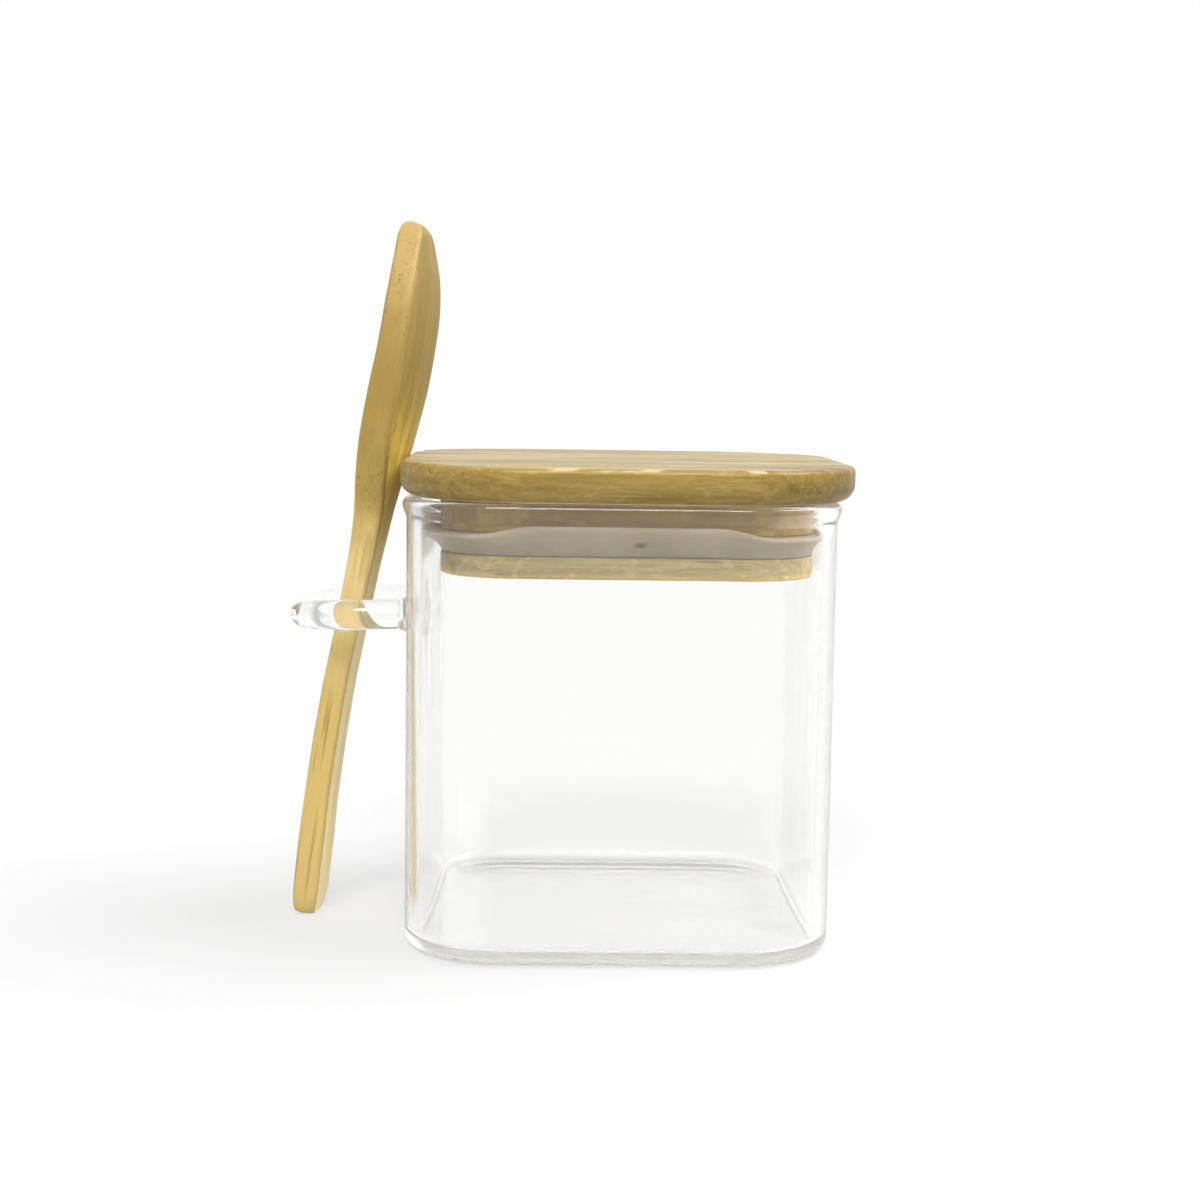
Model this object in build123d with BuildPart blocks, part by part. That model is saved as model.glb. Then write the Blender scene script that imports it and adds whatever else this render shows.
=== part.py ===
from build123d import *
import os

os.makedirs("parts", exist_ok=True)

# ---------------------------------------------------------------- dimensions
# millimetres; origin at the centre of the jar's foot, +Z up, the loop is on -X
JAR_W = 75.0            # outside width and depth of the glass
JAR_H = 79.0            # height of the glass
JAR_R = 16.8            # outside corner radius, seen from above
WALL = 2.3              # side wall
FLOOR = 2.2             # floor thickness
FOOT_R = 2.4            # outside rounding of the foot
WELL_R = 1.2            # inside rounding between floor and wall
RIM_OUT = 0.7           # how far the rim flares out, each side
RIM_H = 3.2             # height of the flared part
LIP_R = 0.9             # rounding of the rim

ROD_D = 5.4             # glass rod of the loop
LOOP_Z = 57.0           # height of the loop
LOOP_R = 12.0           # bend radius of the loop at the rod's centre line
LOOP_OUT = 20.0         # rod centre line from the wall to the end of the loop
FOOT_D = 8.6            # flared foot where the rod is fused on
FOOT_L = 2.2            # length of the flared foot

LID_DX = 1.0            # the lid sits this far to +X within its play
PLATE_W = 80.0
PLATE_R = 24.0
PLATE_T = 6.15
PLATE_GAP = 0.15        # plate above the rim
PLATE_TOP_R = 1.6
PLATE_LOW_R = 2.6

PLUG_W = 65.4
PLUG_R = 13.4
PLUG_DEEP = 13.0        # plug below the plate
GROOVE_TOP = 5.3        # groove starts this far below the plate
GROOVE_LOW = 9.2        # and ends here
GROOVE_IN = 2.0         # depth of the groove

LIP_W = 70.1            # seal across its lip, 0.15 mm clear of the glass on each side
LIP_CR = 14.4
LIP_TIP = 3.8           # the lip turns up to this far below the plate
LIP_EDGE = 1.1          # straight part at the lip's tip
LIP_T = 1.0             # thickness of the lip at its tip

SPOON_YAW = -8.0        # the spoon is turned a little about Z in its loop
EDGE_R = 0.7            # eased edges of the spoon
# sections of the spoon: height, hollow side x, round side x, half width, crown of the round side
SPOON_SECTIONS = [
    (0.0, -57.74, -55.00, 3.6, 0.2),
    (0.9, -58.75, -54.62, 4.5, 0.3),
    (3.0, -58.82, -54.11, 5.1, 0.3),
    (9.0, -58.35, -53.34, 5.2, 0.3),
    (22.0, -56.76, -51.89, 4.9, 0.3),
    (40.0, -54.01, -49.19, 4.7, 0.3),
    (54.0, -51.22, -46.43, 4.6, 0.3),
    (66.0, -48.92, -43.85, 4.7, 0.3),
    (74.0, -47.60, -41.95, 5.7, 0.4),
    (82.0, -46.41, -40.08, 9.3, 0.7),
    (90.0, -44.82, -38.18, 12.7, 1.0),
    (98.0, -42.92, -36.36, 14.4, 1.2),
    (105.0, -41.26, -35.21, 15.2, 1.3),
    (111.0, -40.32, -34.43, 14.6, 1.2),
    (117.0, -39.79, -34.13, 12.0, 1.0),
    (121.5, -39.62, -34.51, 8.9, 0.7),
    (124.8, -39.75, -34.90, 5.6, 0.4),
    (126.7, -39.60, -36.10, 2.8, 0.2),
    (127.4, -39.20, -37.60, 1.2, 0.1),
]
BOWL_MID = (-41.50, 104.0)   # x and height of the middle of the hollow, on the hollow side
BOWL_LEAN = 11.5             # the hollow side leans this far from upright, degrees
BOWL_DEEP = 2.2
BOWL_HALF_W = 11.6
BOWL_HALF_L = 17.5

plate_z = JAR_H + PLATE_GAP
well_w = JAR_W - 2 * WALL
well_r = JAR_R - WALL

# ---------------------------------------------------------------- glass jar
with BuildPart() as glass_jar:
    with BuildSketch(Plane.XY):
        RectangleRounded(JAR_W, JAR_W, JAR_R)
    extrude(amount=JAR_H)
    fillet(glass_jar.faces().sort_by(Axis.Z)[0].edges(), FOOT_R)
    # the rim swells outwards over its last millimetres
    with BuildSketch(Plane.XY.offset(JAR_H - RIM_H)):
        RectangleRounded(JAR_W - 0.02, JAR_W - 0.02, JAR_R - 0.01)
    with BuildSketch(Plane.XY.offset(JAR_H - 1.3)):
        RectangleRounded(JAR_W + 2 * RIM_OUT, JAR_W + 2 * RIM_OUT, JAR_R + RIM_OUT)
    loft(ruled=True)
    with BuildSketch(Plane.XY.offset(JAR_H - 1.3)):
        RectangleRounded(JAR_W + 2 * RIM_OUT, JAR_W + 2 * RIM_OUT, JAR_R + RIM_OUT)
    extrude(amount=1.3)
    fillet(glass_jar.faces().sort_by(Axis.Z)[-1].edges(), LIP_R)
    # the well
    with BuildSketch(Plane.XY.offset(FLOOR)):
        RectangleRounded(well_w, well_w, well_r)
    extrude(amount=JAR_H, mode=Mode.SUBTRACT)
    floor_face = glass_jar.faces().filter_by(Axis.Z).filter_by_position(Axis.Z, FLOOR - 0.1, FLOOR + 0.1)[0]
    fillet(floor_face.edges(), WELL_R)
    inner_rim = glass_jar.faces().filter_by(Axis.Z).sort_by(Axis.Z)[-1].inner_wires()[0].edges()
    fillet(inner_rim, LIP_R * 0.8)
glass_jar.part.label = "glass_jar"
export_step(glass_jar.part, "parts/glass_jar.step")

# ---------------------------------------------------------------- glass loop
# a rod bent to a U, standing out level from the -X wall, with flared fused feet
wall_x = -JAR_W / 2
bend_x = wall_x - LOOP_OUT + LOOP_R
with BuildPart() as glass_loop:
    with BuildLine(Plane.XY.offset(LOOP_Z)) as loop_path:
        out_run = Line((wall_x, -LOOP_R), (bend_x, -LOOP_R))
        bend = ThreePointArc((bend_x, -LOOP_R), (bend_x - LOOP_R, 0), (bend_x, LOOP_R))
        back_run = Line((bend_x, LOOP_R), (wall_x, LOOP_R))
    with BuildSketch(Plane(origin=(wall_x, -LOOP_R, LOOP_Z), z_dir=(-1, 0, 0))):
        Circle(ROD_D / 2)
    sweep(path=loop_path.wires()[0])
    for y in (-LOOP_R, LOOP_R):
        with BuildSketch(Plane(origin=(wall_x, y, LOOP_Z), z_dir=(-1, 0, 0))):
            Circle(FOOT_D / 2)
        with BuildSketch(Plane(origin=(wall_x - FOOT_L * 0.35, y, LOOP_Z), z_dir=(-1, 0, 0))):
            Circle(ROD_D / 2 + (FOOT_D - ROD_D) / 2 * 0.42)
        with BuildSketch(Plane(origin=(wall_x - FOOT_L, y, LOOP_Z), z_dir=(-1, 0, 0))):
            Circle(ROD_D / 2)
        loft(ruled=True)
glass_loop.part.label = "glass_loop"
export_step(glass_loop.part, "parts/glass_loop.step")

# ---------------------------------------------------------------- lid plate
with BuildPart() as lid_plate:
    with BuildSketch(Plane.XY.offset(plate_z)):
        with Locations((LID_DX, 0)):
            RectangleRounded(PLATE_W, PLATE_W, PLATE_R)
    extrude(amount=PLATE_T)
    fillet(lid_plate.faces().sort_by(Axis.Z)[-1].edges(), PLATE_TOP_R)
    fillet(lid_plate.faces().sort_by(Axis.Z)[0].edges(), PLATE_LOW_R)
lid_plate.part.label = "lid_plate"
export_step(lid_plate.part, "parts/lid_plate.step")

# ---------------------------------------------------------------- lid plug
groove_w = PLUG_W - 2 * GROOVE_IN
with BuildPart() as lid_plug:
    with BuildSketch(Plane.XY.offset(plate_z - PLUG_DEEP)):
        with Locations((LID_DX, 0)):
            RectangleRounded(PLUG_W, PLUG_W, PLUG_R)
    extrude(amount=PLUG_DEEP)
    with BuildSketch(Plane.XY.offset(plate_z - GROOVE_LOW)):
        with Locations((LID_DX, 0)):
            RectangleRounded(PLUG_W + 2, PLUG_W + 2, PLUG_R + 1)
            RectangleRounded(groove_w, groove_w, PLUG_R - GROOVE_IN, mode=Mode.SUBTRACT)
    extrude(amount=GROOVE_LOW - GROOVE_TOP, mode=Mode.SUBTRACT)
    chamfer(lid_plug.faces().sort_by(Axis.Z)[0].edges(), 0.5)
lid_plug.part.label = "lid_plug"
export_step(lid_plug.part, "parts/lid_plug.step")

# ---------------------------------------------------------------- silicone seal
# its foot fills the groove; its lip flares out and up, evenly to the glass on all sides
seal_low = plate_z - GROOVE_LOW
groove_top = plate_z - GROOVE_TOP
lip_top = plate_z - LIP_TIP
with BuildPart() as seal_ring:
    with BuildSketch(Plane.XY.offset(seal_low)):
        with Locations((LID_DX, 0)):
            RectangleRounded(PLUG_W - 0.2, PLUG_W - 0.2, PLUG_R)
    with BuildSketch(Plane.XY.offset(lip_top - LIP_EDGE)):
        RectangleRounded(LIP_W, LIP_W, LIP_CR)
    loft(ruled=True)
    with BuildSketch(Plane.XY.offset(lip_top - LIP_EDGE)):
        RectangleRounded(LIP_W, LIP_W, LIP_CR)
    extrude(amount=LIP_EDGE)
    # the space behind the lip, above the groove
    with BuildSketch(Plane.XY.offset(groove_top)):
        with Locations((LID_DX, 0)):
            RectangleRounded(PLUG_W + 0.2, PLUG_W + 0.2, PLUG_R + 0.1)
    with BuildSketch(Plane.XY.offset(lip_top)):
        RectangleRounded(LIP_W - 2 * LIP_T, LIP_W - 2 * LIP_T, LIP_CR - LIP_T)
    loft(ruled=True, mode=Mode.SUBTRACT)
    # the middle, where the plug goes through
    with BuildSketch(Plane.XY.offset(seal_low - 1)):
        with Locations((LID_DX, 0)):
            RectangleRounded(groove_w, groove_w, PLUG_R - GROOVE_IN)
    extrude(amount=GROOVE_LOW, mode=Mode.SUBTRACT)
seal_ring.part.label = "seal_ring"
export_step(seal_ring.part, "parts/seal_ring.step")

# ---------------------------------------------------------------- spoon
# lofted through its sections, then the shallow bowl is cut into the -X side
turn = Plane.XY.rotated((0, 0, SPOON_YAW))
with BuildPart() as spoon:
    for height, x_hollow, x_round, half_w, crown in SPOON_SECTIONS:
        thick = x_round - x_hollow
        with BuildSketch(Plane(origin=(x_hollow, 0, height), x_dir=turn.x_dir, z_dir=(0, 0, 1))) as section:
            with BuildLine():
                Line((0, half_w), (0, -half_w))
                Line((0, -half_w), (thick - crown, -half_w))
                ThreePointArc((thick - crown, -half_w), (thick, 0), (thick - crown, half_w))
                Line((thick - crown, half_w), (0, half_w))
            make_face()
            fillet(section.vertices(), min(EDGE_R, (thick - crown) * 0.3))
    loft()
    # the bowl: a barrel whose side arc runs along the spoon
    bowl_along = Vector(0, 0, 1).rotate(Axis.Y, BOWL_LEAN).rotate(Axis.Z, SPOON_YAW)
    bowl_out = Vector(-1, 0, 0).rotate(Axis.Y, BOWL_LEAN).rotate(Axis.Z, SPOON_YAW)
    cross_r = (BOWL_HALF_W**2 + BOWL_DEEP**2) / (2 * BOWL_DEEP)
    along_r = (BOWL_HALF_L**2 + BOWL_DEEP**2) / (2 * BOWL_DEEP)
    barrel_l = BOWL_HALF_L * 1.5
    end_r = cross_r - (along_r - (along_r**2 - barrel_l**2) ** 0.5)
    bowl_axis_at = Vector(BOWL_MID[0], 0, BOWL_MID[1]) + bowl_out * (cross_r - BOWL_DEEP)
    with BuildSketch(Plane(origin=bowl_axis_at, x_dir=bowl_along, z_dir=bowl_along.cross(bowl_out * -1))):
        with BuildLine():
            Line((-barrel_l, 0), (barrel_l, 0))
            Line((barrel_l, 0), (barrel_l, end_r))
            ThreePointArc((barrel_l, end_r), (0, cross_r), (-barrel_l, end_r))
            Line((-barrel_l, end_r), (-barrel_l, 0))
        make_face()
    revolve(axis=Axis(bowl_axis_at, bowl_along), mode=Mode.SUBTRACT)
spoon.part.label = "spoon"
export_step(spoon.part, "parts/spoon.step")
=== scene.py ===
import math

import bmesh
import bpy
import numpy as np
from mathutils import Matrix, Vector


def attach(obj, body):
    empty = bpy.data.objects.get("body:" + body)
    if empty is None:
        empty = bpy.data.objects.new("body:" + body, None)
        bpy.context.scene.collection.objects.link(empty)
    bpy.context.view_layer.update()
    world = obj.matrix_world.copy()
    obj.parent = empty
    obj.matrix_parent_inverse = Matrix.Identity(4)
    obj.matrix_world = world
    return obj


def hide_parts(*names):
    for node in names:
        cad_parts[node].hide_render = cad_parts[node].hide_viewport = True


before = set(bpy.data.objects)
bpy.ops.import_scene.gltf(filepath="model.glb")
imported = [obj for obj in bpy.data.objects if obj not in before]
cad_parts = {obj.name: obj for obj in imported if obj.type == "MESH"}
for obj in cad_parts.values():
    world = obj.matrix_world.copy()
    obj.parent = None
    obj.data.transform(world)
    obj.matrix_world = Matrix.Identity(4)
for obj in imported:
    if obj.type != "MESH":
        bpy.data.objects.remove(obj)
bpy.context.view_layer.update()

MM = 0.001
scene = bpy.context.scene
scene.view_settings.view_transform = "Standard"
scene.view_settings.look = "None"
scene.view_settings.exposure = 0.0
scene.view_settings.gamma = 1.0
# light that runs round inside the glass needs many bounces before it comes out
for key, value in (("max_bounces", 72), ("glossy_bounces", 64), ("transmission_bounces", 64), ("diffuse_bounces", 6)):
    setattr(scene.cycles, key, value)

# ------------------------------------------------------------------ sizes, mm
JAR_W, JAR_H, JAR_R, WALL, FLOOR = 75.0, 79.0, 16.8, 2.3, 2.2
FOOT_R, WELL_R, RIM_OUT = 2.4, 1.2, 0.7
ROD_R, LOOP_Z, LOOP_R, LOOP_OUT = 2.7, 57.0, 12.0, 20.0
LID_DX, PLATE_Z, PLATE_T, PLATE_W, PLATE_R = 1.0, 79.15, 6.15, 80.0, 24.0
PLUG_W, PLUG_R, PLUG_DEEP, GROOVE_TOP, GROOVE_LOW, GROOVE_IN = 65.4, 13.4, 13.0, 5.3, 9.2, 2.0
LIP_W, LIP_R, LIP_TIP = 70.1, 14.4, 3.8
SPOON_YAW = -8.0
SPOON_SECTIONS = [
    (0.0, -57.74, -55.00, 3.6, 0.2),
    (0.9, -58.75, -54.62, 4.5, 0.3),
    (3.0, -58.82, -54.11, 5.1, 0.3),
    (9.0, -58.35, -53.34, 5.2, 0.3),
    (22.0, -56.76, -51.89, 4.9, 0.3),
    (40.0, -54.01, -49.19, 4.7, 0.3),
    (54.0, -51.22, -46.43, 4.6, 0.3),
    (66.0, -48.92, -43.85, 4.7, 0.3),
    (74.0, -47.60, -41.95, 5.7, 0.4),
    (82.0, -46.41, -40.08, 9.3, 0.7),
    (90.0, -44.82, -38.18, 12.7, 1.0),
    (98.0, -42.92, -36.36, 14.4, 1.2),
    (105.0, -41.26, -35.21, 15.2, 1.3),
    (111.0, -40.32, -34.43, 14.6, 1.2),
    (117.0, -39.79, -34.13, 12.0, 1.0),
    (121.5, -39.62, -34.51, 8.9, 0.7),
    (124.8, -39.75, -34.90, 5.6, 0.4),
    (126.7, -39.60, -36.10, 2.8, 0.2),
    (127.4, -39.20, -37.60, 1.2, 0.1),
]


# ------------------------------------------------------------------ mesh helpers
def wave(p, seed, scale):
    """Smooth repeatable noise, about -1 to 1, from sums of sines. p is (N, 3) in mm."""
    rng = np.random.RandomState(seed)
    out = np.zeros(len(p))
    for k in range(9):
        d = rng.normal(size=3)
        d /= np.linalg.norm(d)
        f = scale * (0.6 + 1.5 * rng.rand())
        out += np.sin(p @ d * f + rng.rand() * 6.283) * (0.7 + 0.6 * rng.rand())
    return out / 3.6


def square_path(width, radius, corner=24, side=14):
    """A rounded square about the origin: points, outward normals and how far round each is, counterclockwise."""
    h = width / 2 - radius
    pts, nor = [], []
    for k, (cx, cy) in enumerate(((h, h), (-h, h), (-h, -h), (h, -h))):
        a0 = k * math.pi / 2
        for i in range(corner + 1):
            a = a0 + math.pi / 2 * i / corner
            n = (math.cos(a), math.sin(a))
            pts.append((cx + radius * n[0], cy + radius * n[1]))
            nor.append(n)
        nx = ((h, h), (-h, h), (-h, -h), (h, -h))[(k + 1) % 4]
        a = a0 + math.pi / 2
        n = (math.cos(a), math.sin(a))
        p0 = (cx + radius * n[0], cy + radius * n[1])
        p1 = (nx[0] + radius * n[0], nx[1] + radius * n[1])
        for i in range(1, side):
            t = i / side
            pts.append((p0[0] + (p1[0] - p0[0]) * t, p0[1] + (p1[1] - p0[1]) * t))
            nor.append(n)
    return np.array(pts), np.array(nor)


def arc(cx, cy, r, a0, a1, n):
    """Points of an arc in a profile, ends included, angles in degrees."""
    return [(cx + r * math.cos(math.radians(a0 + (a1 - a0) * i / n)), cy + r * math.sin(math.radians(a0 + (a1 - a0) * i / n))) for i in range(n + 1)]


def make_object(name, verts, faces, smooth=True, materials=(), slots=None):
    me = bpy.data.meshes.new(name)
    me.from_pydata([tuple(v) for v in np.asarray(verts) * MM], [], [tuple(int(i) for i in f) for f in faces])
    me.validate()
    ob = bpy.data.objects.new(name, me)
    scene.collection.objects.link(ob)
    for m in materials:
        me.materials.append(m)
    if slots is not None:
        me.polygons.foreach_set("material_index", np.asarray(slots, dtype=np.int32))
    me.polygons.foreach_set("use_smooth", [smooth] * len(me.polygons))
    me.update()
    return ob


def rings_to_mesh(rings, cap_first=True, cap_last=True, closed=False):
    """rings is (R, N, 3): quads between them, and fans over the ends towards each end's middle."""
    rings = np.asarray(rings)
    R, N, _ = rings.shape
    verts = [v for ring in rings for v in ring]
    faces = []
    last = R if closed else R - 1
    for r in range(last):
        a, b = r * N, ((r + 1) % R) * N
        for i in range(N):
            j = (i + 1) % N
            faces.append((a + i, a + j, b + j, b + i))
    if not closed:
        if cap_first:
            c = len(verts)
            verts.append(rings[0].mean(0))
            for i in range(N):
                faces.append((c, (i + 1) % N, i))
        if cap_last:
            c = len(verts)
            verts.append(rings[-1].mean(0))
            a = (R - 1) * N
            for i in range(N):
                faces.append((c, a + i, a + (i + 1) % N))
    return np.array(verts), faces


def shrink_rings(ring, fractions, height=None):
    """Rings of the same shape, shrunk towards its middle, for a flat end."""
    c = ring.mean(0)
    out = []
    for f in fractions:
        q = c + (ring - c) * f
        if height is not None:
            q[:, 2] = ring[:, 2] + height(f)
        out.append(q)
    return out


def recalc(ob):
    bm = bmesh.new()
    bm.from_mesh(ob.data)
    bmesh.ops.recalc_face_normals(bm, faces=bm.faces)
    bm.to_mesh(ob.data)
    bm.free()
    ob.data.update()


# ------------------------------------------------------------------ material helpers
class Nodes:
    def __init__(self, name):
        self.mat = bpy.data.materials.new(name)
        self.mat.use_nodes = True
        self.t = self.mat.node_tree
        self.t.nodes.clear()
        self.out = self.t.nodes.new("ShaderNodeOutputMaterial")
        self.coord = self.t.nodes.new("ShaderNodeTexCoord")

    def new(self, kind, **values):
        n = self.t.nodes.new(kind)
        for k, v in values.items():
            setattr(n, k, v)
        return n

    def link(self, a, b):
        self.t.links.new(a, b)

    def mapping(self, scale, rotate=(0, 0, 0), move=(0, 0, 0), source=None):
        m = self.new("ShaderNodeMapping")
        m.inputs["Scale"].default_value = scale
        m.inputs["Rotation"].default_value = rotate
        m.inputs["Location"].default_value = move
        self.link(source or self.coord.outputs["Object"], m.inputs["Vector"])
        return m.outputs["Vector"]

    def noise(self, vector, scale, detail=3.0, rough=0.5, distort=0.0):
        n = self.new("ShaderNodeTexNoise")
        n.inputs["Scale"].default_value = scale
        n.inputs["Detail"].default_value = detail
        n.inputs["Roughness"].default_value = rough
        n.inputs["Distortion"].default_value = distort
        self.link(vector, n.inputs["Vector"])
        return n.outputs["Fac"]

    def cells(self, vector, scale, feature="F1", random=1.0):
        n = self.new("ShaderNodeTexVoronoi", feature=feature)
        n.inputs["Scale"].default_value = scale
        n.inputs["Randomness"].default_value = random
        self.link(vector, n.inputs["Vector"])
        return n

    def ramp(self, fac, stops, mode="LINEAR"):
        n = self.new("ShaderNodeValToRGB")
        n.color_ramp.interpolation = mode
        el = n.color_ramp.elements
        while len(el) < len(stops):
            el.new(0.5)
        for e, (p, c) in zip(el, stops):
            e.position = p
            e.color = (c[0], c[1], c[2], 1.0) if len(c) == 3 else c
        self.link(fac, n.inputs["Fac"])
        return n.outputs["Color"]

    def span(self, fac, a0, a1, b0, b1, clamp=True):
        n = self.new("ShaderNodeMapRange", clamp=clamp)
        n.inputs["From Min"].default_value = a0
        n.inputs["From Max"].default_value = a1
        n.inputs["To Min"].default_value = b0
        n.inputs["To Max"].default_value = b1
        self.link(fac, n.inputs["Value"])
        return n.outputs["Result"]

    def math(self, op, a, b=None):
        n = self.new("ShaderNodeMath", operation=op)
        for i, v in enumerate((a, b)):
            if v is None:
                continue
            if isinstance(v, (int, float)):
                n.inputs[i].default_value = v
            else:
                self.link(v, n.inputs[i])
        return n.outputs["Value"]

    def mix(self, fac, a, b, blend="MIX"):
        n = self.new("ShaderNodeMix", data_type="RGBA", blend_type=blend)
        for key, v in ((0, fac), (6, a), (7, b)):
            if isinstance(v, (int, float)):
                n.inputs[key].default_value = v
            elif isinstance(v, tuple):
                n.inputs[key].default_value = (v[0], v[1], v[2], 1.0)
            else:
                self.link(v, n.inputs[key])
        return n.outputs[2]

    def bump(self, height, strength, distance, normal=None):
        n = self.new("ShaderNodeBump")
        n.inputs["Strength"].default_value = strength
        n.inputs["Distance"].default_value = distance
        self.link(height, n.inputs["Height"])
        if normal is not None:
            self.link(normal, n.inputs["Normal"])
        return n.outputs["Normal"]

    def surface(self, **values):
        p = self.new("ShaderNodeBsdfPrincipled")
        for k, v in values.items():
            s = p.inputs[k.replace("_", " ")]
            if hasattr(v, "node"):
                self.link(v, s)
            else:
                s.default_value = v
        self.link(p.outputs["BSDF"], self.out.inputs["Surface"])
        return p


def srgb(r, g, b):
    def f(c):
        c /= 255.0
        return c / 12.92 if c <= 0.04045 else ((c + 0.055) / 1.055) ** 2.4
    return (f(r), f(g), f(b))


def bamboo(name, pale, mid, dark, along, lean=(0, 0, 0), strips=None, rough=0.42, fibre=1.0, dots=1.0, tone=0.5, gloss=0.5, dashes=0.0, painted_light_by_height=None, edge=None, painted_shade_by_x=None):
    """Bamboo whose fibres run along one axis of the row frame. Long faces show streaks, cut ends show the bundles as dots."""
    n = Nodes(name)
    src = n.coord.outputs["Object"]
    if lean != (0, 0, 0):
        src = n.mapping((1, 1, 1), rotate=lean)
    stretch = {"x": (0.035, 1, 1), "y": (1, 0.035, 1), "z": (1, 1, 0.035)}[along]
    v = n.mapping(stretch, source=src)
    slow = n.noise(n.mapping(tuple(0.3 if s < 1 else 1.0 for s in stretch), source=src), 90, 2.0, 0.5)
    broad = n.noise(v, 520, 3.0, 0.55, 0.4)
    fine = n.noise(v, 1900, 4.0, 0.65, 0.2)
    hair = n.noise(v, 5200, 2.0, 0.6)
    bundle = n.cells(v, 1150, "F1", 1.0)
    spot = n.span(bundle.outputs["Distance"], 0.10, 0.34, 1.0, 0.0)
    keep = n.span(n.noise(n.mapping((1, 1, 1), source=src), 260, 2.0), 0.48, 0.62, 0.0, 1.0)
    spot = n.math("MULTIPLY", spot, keep)
    base = n.ramp(n.math("ADD", n.math("MULTIPLY", broad, 0.55), n.math("MULTIPLY", slow, 0.45)),
                  [(0.30, dark), (0.46, mid), (0.62, pale)])
    streak = n.span(fine, 0.36, 0.66, 1.0 - 0.20 * fibre, 1.0 + 0.10 * fibre)
    hairs = n.span(hair, 0.3, 0.7, 1.0 - 0.08 * fibre, 1.0 + 0.06 * fibre)
    col = n.mix(1.0, base, n.mix(1.0, _grey(n, streak), _grey(n, hairs), "MULTIPLY"), "MULTIPLY")
    if strips:
        axis, pitch = strips
        sc = [0.0, 0.0, 0.0]
        sc[axis] = 1.0 / pitch
        sep = n.new("ShaderNodeSeparateXYZ")
        n.link(n.mapping(tuple(sc), source=src), sep.inputs[0])
        step = n.math("FLOOR", sep.outputs[axis])
        white = n.new("ShaderNodeTexWhiteNoise", noise_dimensions="1D")
        n.link(step, white.inputs["W"])
        col = n.mix(1.0, col, _grey(n, n.span(white.outputs["Value"], 0, 1, 0.93, 1.06)), "MULTIPLY")
    if dashes:
        thin = n.noise(n.mapping(tuple(0.6 if q < 1 else q for q in stretch), source=src), 700, 2.0, 0.5)
        long = n.noise(n.mapping(tuple(0.5 if q < 1 else q for q in stretch), source=src), 1050, 1.0, 0.5)
        col = n.mix(n.span(thin, 0.55, 0.66, 0.0, 0.75 * dashes), col, (pale[0] * 1.25, pale[1] * 1.3, pale[2] * 1.6))
        col = n.mix(n.span(long, 0.58, 0.68, 0.0, 0.5 * dashes), col, dark)
    # painted light and shade: the colour is made lighter or darker by height, for where the light falls on the rounded
    # edges
    if painted_light_by_height:
        sep_z = n.new("ShaderNodeSeparateXYZ")
        n.link(n.coord.outputs["Object"], sep_z.inputs[0])
        for (z0, g0), (z1, g1) in zip(painted_light_by_height, painted_light_by_height[1:]):                    # each span runs from g0 to g1, shared out as factors
            col = n.mix(1.0, col, _grey(n, n.span(sep_z.outputs[2], z0 * MM, z1 * MM, 1.0, g1 / g0)), "MULTIPLY")
        first = painted_light_by_height[0][1]
        col = n.mix(1.0, col, (first, first, first), "MULTIPLY")
    # painted shade: the colour darkens along x, for the end that gets less light
    if painted_shade_by_x:
        x0, x1, gain = painted_shade_by_x
        sep_x = n.new("ShaderNodeSeparateXYZ")
        n.link(n.coord.outputs["Object"], sep_x.inputs[0])
        col = n.mix(1.0, col, _grey(n, n.span(sep_x.outputs[0], x0 * MM, x1 * MM, 1.0, gain)), "MULTIPLY")
    # painted highlight: broken cream dashes along the top edge of the long faces, where the rounded edge catches the
    # light
    if edge:
        z0, z1, cream = edge
        sep_e = n.new("ShaderNodeSeparateXYZ")
        n.link(n.coord.outputs["Object"], sep_e.inputs[0])
        painted_glint = n.noise(n.mapping(tuple(0.45 if q < 1 else q for q in stretch), source=src), 420, 1.0, 0.4)
        painted_glint = n.math("MULTIPLY", n.span(painted_glint, 0.55, 0.60, 0.0, 1.0), n.span(sep_e.outputs[2], z0 * MM, z1 * MM, 0.0, 1.0))
        painted_glint = n.math("MULTIPLY", painted_glint, n.span(n.math("ABSOLUTE", sep_e.outputs[1]), 0.0374, 0.0382, 0.1, 1.0))
        col = n.mix(painted_glint, col, cream)
    col = n.mix(n.math("MULTIPLY", spot, 0.55 * dots), col, (dark[0] * tone, dark[1] * tone, dark[2] * tone))
    height = n.math("ADD", n.math("MULTIPLY", fine, 0.6), n.math("ADD", n.math("MULTIPLY", hair, 0.25), n.math("MULTIPLY", spot, -0.5)))
    shine = n.span(broad, 0.3, 0.7, rough + 0.07, rough - 0.06)
    n.surface(Base_Color=col, Roughness=shine, IOR=1.45, Specular_IOR_Level=gloss, Normal=n.bump(height, 0.35, 0.00012))
    return n.mat


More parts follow.
